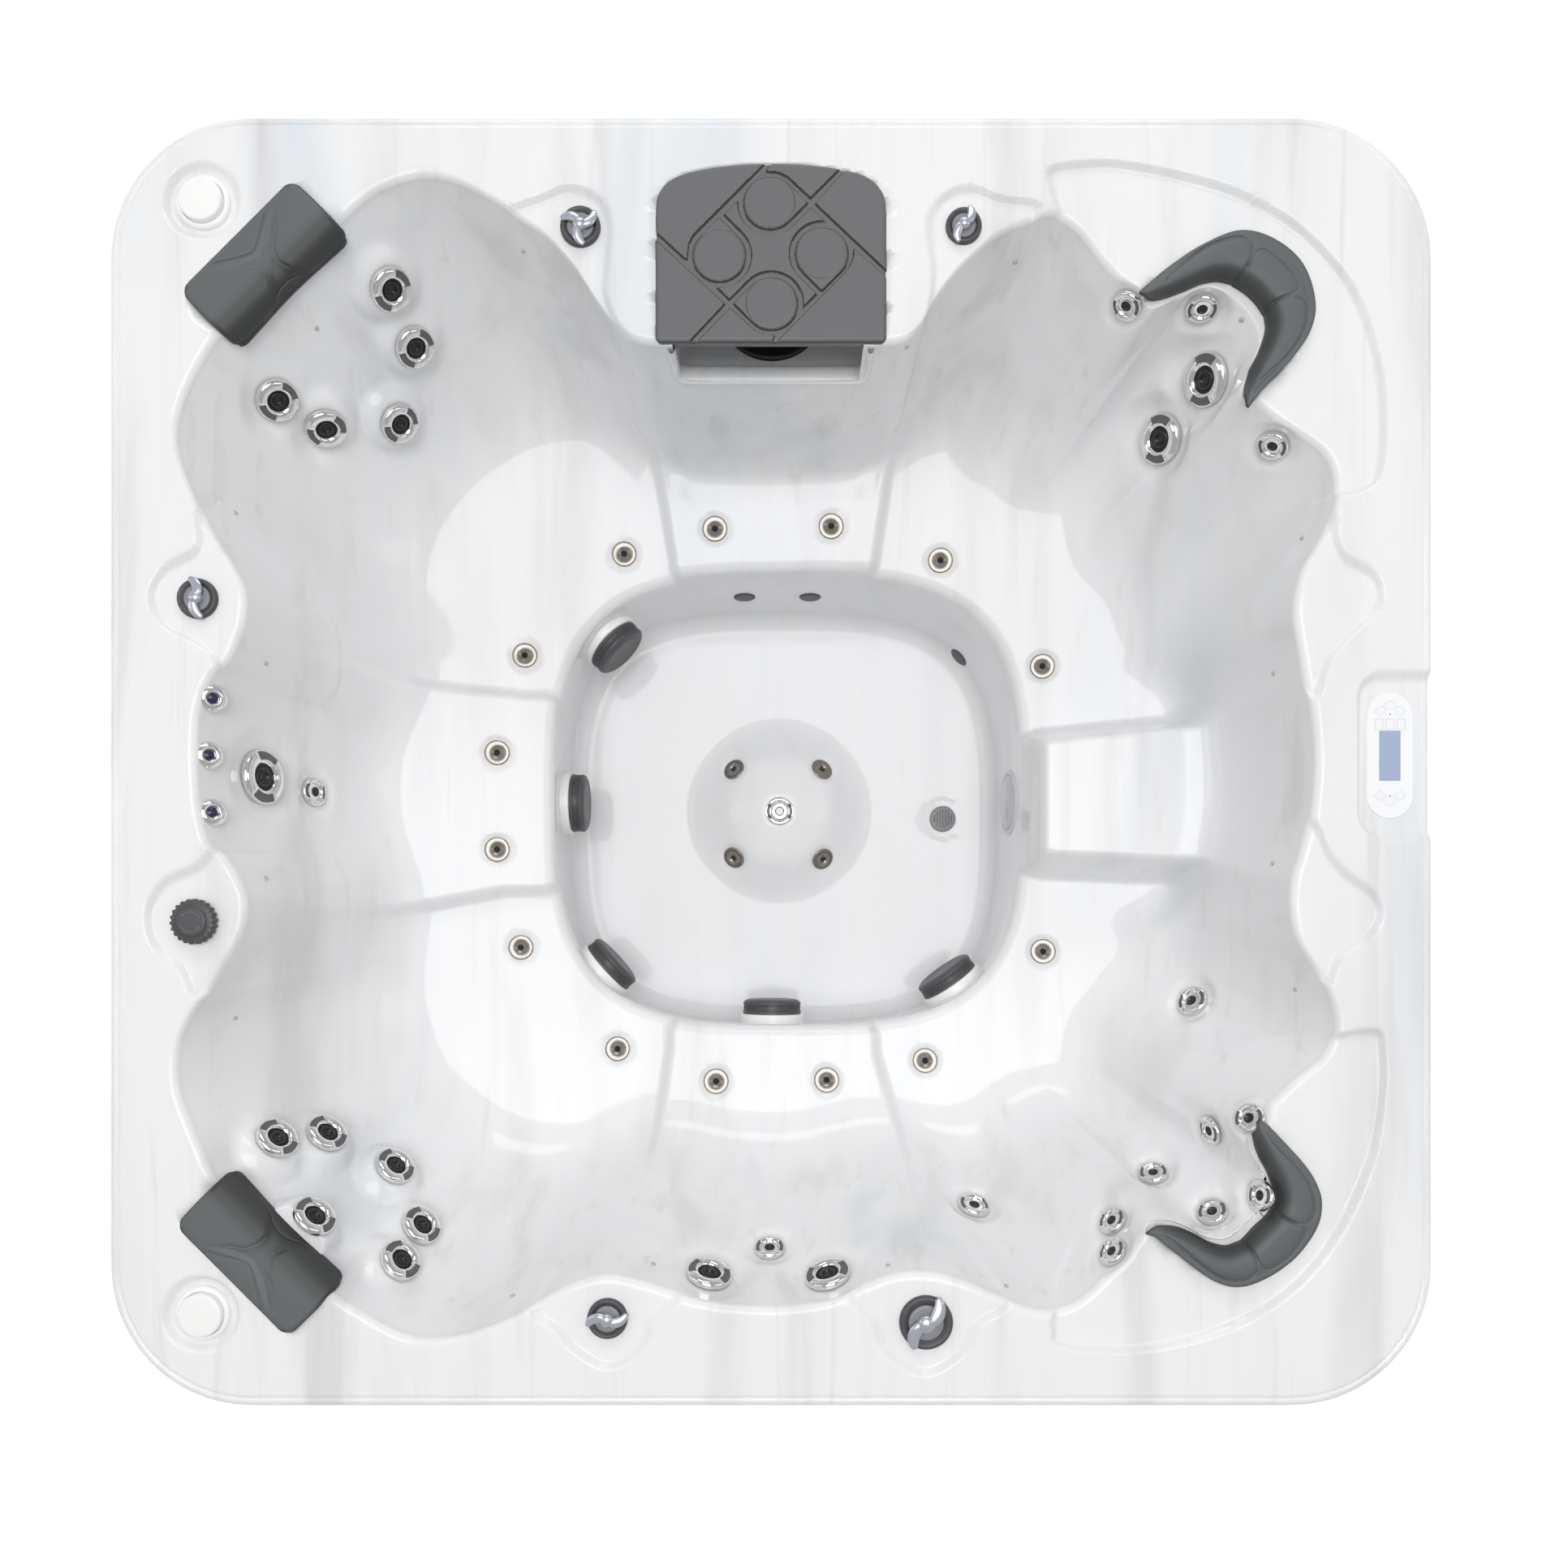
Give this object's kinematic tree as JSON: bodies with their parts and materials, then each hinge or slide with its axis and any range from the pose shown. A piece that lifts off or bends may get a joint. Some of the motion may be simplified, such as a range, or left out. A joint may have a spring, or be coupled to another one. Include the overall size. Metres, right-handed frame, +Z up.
{
  "type": "acrylic hot tub",
  "caption": "Square acrylic hot tub with moulded seats, round footwell, massage jets, pillows, filter niche, deck knobs, pop-up speakers and control panel on a cabinet.",
  "frame": {"origin": "middle of the bottom of the base, on the ground", "axes": "+X towards the control panel side (right in the picture), +Y towards the filter side (top of the picture), +Z up"},
  "size_m": [2.2004, 2.1454, 0.916],
  "materials": {
    "acrylic": "glossy, soft grey marbling",
    "chrome": "polished",
    "silver": "silver plated",
    "charcoal": "satin",
    "lens": "clear",
    "lid_grey": "satin",
    "slate": "soft foam skin",
    "white_plastic": "satin",
    "panel_white": "membrane overlay",
    "filter_fabric": "pleated",
    "board": "moulded board",
    "pan_black": "textured",
    "frame_steel": "galvanised",
    "motor_paint": "painted",
    "steel": "brushed"
  },
  "bodies": {
    "tub": {"shell": "acrylic", "suction_cover_1": "charcoal", "suction_cover_2": "charcoal", "suction_cover_3": "charcoal", "suction_cover_4": "charcoal", "suction_cover_5": "charcoal", "light_lens": "lens", "drain_cover": "lid_grey", "speaker_can_1": "white_plastic", "speaker_can_2": "white_plastic", "control_panel": "panel_white", "pillow_nw": "slate", "pillow_sw": "slate", "pillow_ne": "slate", "pillow_se": "slate", "filter_housing": "white_plastic", "base_pan": "pan_black", "cabinet_panel_e": "board", "cabinet_panel_w": "board", "cabinet_panel_n": "board", "cabinet_panel_s": "board", "cabinet_corner_ne": "board", "cabinet_corner_nw": "board", "cabinet_corner_sw": "board", "cabinet_corner_se": "board", "frame": "frame_steel", "pump_1_motor": "motor_paint", "pump_1_wet_end": "charcoal", "pump_2_motor": "motor_paint", "pump_2_wet_end": "charcoal", "heater": "steel", "control_box": "pan_black", "blower": "pan_black"},
    "jet_nw_1": {"jet_nw_1": "chrome"},
    "jet_nw_2": {"jet_nw_2": "chrome"},
    "jet_nw_3": {"jet_nw_3": "chrome"},
    "jet_nw_4": {"jet_nw_4": "chrome"},
    "jet_nw_5": {"jet_nw_5": "chrome"},
    "jet_sw_1": {"jet_sw_1": "chrome"},
    "jet_sw_2": {"jet_sw_2": "chrome"},
    "jet_sw_3": {"jet_sw_3": "chrome"},
    "jet_sw_4": {"jet_sw_4": "chrome"},
    "jet_sw_5": {"jet_sw_5": "chrome"},
    "jet_sw_6": {"jet_sw_6": "chrome"},
    "jet_ne_1": {"jet_ne_1": "chrome"},
    "jet_ne_2": {"jet_ne_2": "chrome"},
    "jet_w_1": {"jet_w_1": "chrome"},
    "jet_s_1": {"jet_s_1": "chrome"},
    "jet_s_2": {"jet_s_2": "chrome"},
    "air_knob_1": {"air_knob_1": "silver"},
    "air_knob_2": {"air_knob_2": "silver"},
    "air_knob_3": {"air_knob_3": "silver"},
    "air_knob_4": {"air_knob_4": "silver"},
    "diverter_knob": {"diverter_knob": "silver"},
    "air_valve_cap": {"air_valve_cap": "charcoal"},
    "filter_cartridge": {"filter_cartridge": "filter_fabric"},
    "filter_lid": {"filter_lid": "lid_grey"},
    "speaker_popup_1": {"speaker_popup_1": "white_plastic"},
    "speaker_popup_2": {"speaker_popup_2": "white_plastic"}
  },
  "joints": [
    {"name": "jet_nw_1_turn", "type": "hinge", "parent": "tub", "child": "jet_nw_1", "pos_m": [-0.67159, 0.85042, 0.78274], "axis": [0.6504, -0.6611, 0.3741], "range_deg": [-60, 60]},
    {"name": "jet_nw_2_turn", "type": "hinge", "parent": "tub", "child": "jet_nw_2", "pos_m": [-0.66379, 0.80045, 0.68149], "axis": [0.6242, -0.669, 0.4035], "range_deg": [-60, 60]},
    {"name": "jet_nw_3_turn", "type": "hinge", "parent": "tub", "child": "jet_nw_3", "pos_m": [-0.88169, 0.66262, 0.76436], "axis": [0.6064, -0.6805, 0.4113], "range_deg": [-60, 60]},
    {"name": "jet_nw_4_turn", "type": "hinge", "parent": "tub", "child": "jet_nw_4", "pos_m": [-0.83175, 0.65042, 0.67811], "axis": [0.4225, -0.8223, 0.3813], "range_deg": [-60, 60]},
    {"name": "jet_nw_5_turn", "type": "hinge", "parent": "tub", "child": "jet_nw_5", "pos_m": [-0.7196, 0.69357, 0.60391], "axis": [0.6706, -0.6241, 0.4011], "range_deg": [-60, 60]},
    {"name": "jet_sw_1_turn", "type": "hinge", "parent": "tub", "child": "jet_sw_1", "pos_m": [-0.86925, -0.64666, 0.79103], "axis": [0.685, 0.6314, 0.3635], "range_deg": [-60, 60]},
    {"name": "jet_sw_2_turn", "type": "hinge", "parent": "tub", "child": "jet_sw_2", "pos_m": [-0.81639, -0.65414, 0.70872], "axis": [0.6433, 0.6724, 0.3661], "range_deg": [-60, 60]},
    {"name": "jet_sw_3_turn", "type": "hinge", "parent": "tub", "child": "jet_sw_3", "pos_m": [-0.70952, -0.72661, 0.65711], "axis": [0.6382, 0.6552, 0.4043], "range_deg": [-60, 60]},
    {"name": "jet_sw_4_turn", "type": "hinge", "parent": "tub", "child": "jet_sw_4", "pos_m": [-0.77433, -0.76525, 0.85945], "axis": [0.6653, 0.6807, 0.3065], "range_deg": [-60, 60]},
    {"name": "jet_sw_5_turn", "type": "hinge", "parent": "tub", "child": "jet_sw_5", "pos_m": [-0.64451, -0.82564, 0.70232], "axis": [0.6804, 0.622, 0.3875], "range_deg": [-60, 60]},
    {"name": "jet_sw_6_turn", "type": "hinge", "parent": "tub", "child": "jet_sw_6", "pos_m": [-0.65444, -0.86465, 0.78155], "axis": [0.6899, 0.6031, 0.4005], "range_deg": [-60, 60]},
    {"name": "jet_ne_1_turn", "type": "hinge", "parent": "tub", "child": "jet_ne_1", "pos_m": [0.77394, 0.70316, 0.75933], "axis": [-0.866, -0.3081, 0.3939], "range_deg": [-60, 60]},
    {"name": "jet_ne_2_turn", "type": "hinge", "parent": "tub", "child": "jet_ne_2", "pos_m": [0.73382, 0.64806, 0.64224], "axis": [-0.8508, -0.2884, 0.4392], "range_deg": [-60, 60]},
    {"name": "jet_w_1_turn", "type": "hinge", "parent": "tub", "child": "jet_w_1", "pos_m": [-0.91659, -0.00596, 0.74339], "axis": [0.9638, 0.0249, 0.2653], "range_deg": [-60, 60]},
    {"name": "jet_s_1_turn", "type": "hinge", "parent": "tub", "child": "jet_s_1", "pos_m": [-0.10761, -0.87385, 0.82288], "axis": [0.2164, 0.9321, 0.2905], "range_deg": [-60, 60]},
    {"name": "jet_s_2_turn", "type": "hinge", "parent": "tub", "child": "jet_s_2", "pos_m": [0.09621, -0.87188, 0.8322], "axis": [-0.241, 0.9283, 0.2831], "range_deg": [-60, 60]},
    {"name": "air_knob_1_turn", "type": "hinge", "parent": "tub", "child": "air_knob_1", "pos_m": [-0.3179, 0.89232, 0.9], "axis": [0, 0, 1], "range_deg": [-75, 75]},
    {"name": "air_knob_2_turn", "type": "hinge", "parent": "tub", "child": "air_knob_2", "pos_m": [0.3212, 0.89339, 0.9], "axis": [0, 0, 1], "range_deg": [-75, 75]},
    {"name": "air_knob_3_turn", "type": "hinge", "parent": "tub", "child": "air_knob_3", "pos_m": [-0.9559, 0.27242, 0.9], "axis": [0, 0, 1], "range_deg": [-75, 75]},
    {"name": "air_knob_4_turn", "type": "hinge", "parent": "tub", "child": "air_knob_4", "pos_m": [-0.2728, -0.92771, 0.9], "axis": [0, 0, 1], "range_deg": [-75, 75]},
    {"name": "diverter_knob_turn", "type": "hinge", "parent": "tub", "child": "diverter_knob", "pos_m": [0.2585, -0.93415, 0.9], "axis": [0, 0, 1], "range_deg": [-45, 45]},
    {"name": "air_valve_cap_turn", "type": "hinge", "parent": "tub", "child": "air_valve_cap", "pos_m": [-0.9592, -0.26598, 0.9], "axis": [0, 0, 1], "range_deg": [0, 90]},
    {"name": "filter_cartridge_turn", "type": "hinge", "parent": "tub", "child": "filter_cartridge", "pos_m": [0, 0.82797, 0.77], "axis": [0, 0, 1], "range_deg": [0, 90]},
    {"name": "filter_lid_lift", "type": "slide", "parent": "tub", "child": "filter_lid", "axis": [0, 0, 1], "range_m": [0, 0.25]},
    {"name": "speaker_popup_1_rise", "type": "slide", "parent": "tub", "child": "speaker_popup_1", "axis": [0, 0, 1], "range_m": [0, 0.045]},
    {"name": "speaker_popup_2_rise", "type": "slide", "parent": "tub", "child": "speaker_popup_2", "axis": [0, 0, 1], "range_m": [0, 0.045]}
  ]
}
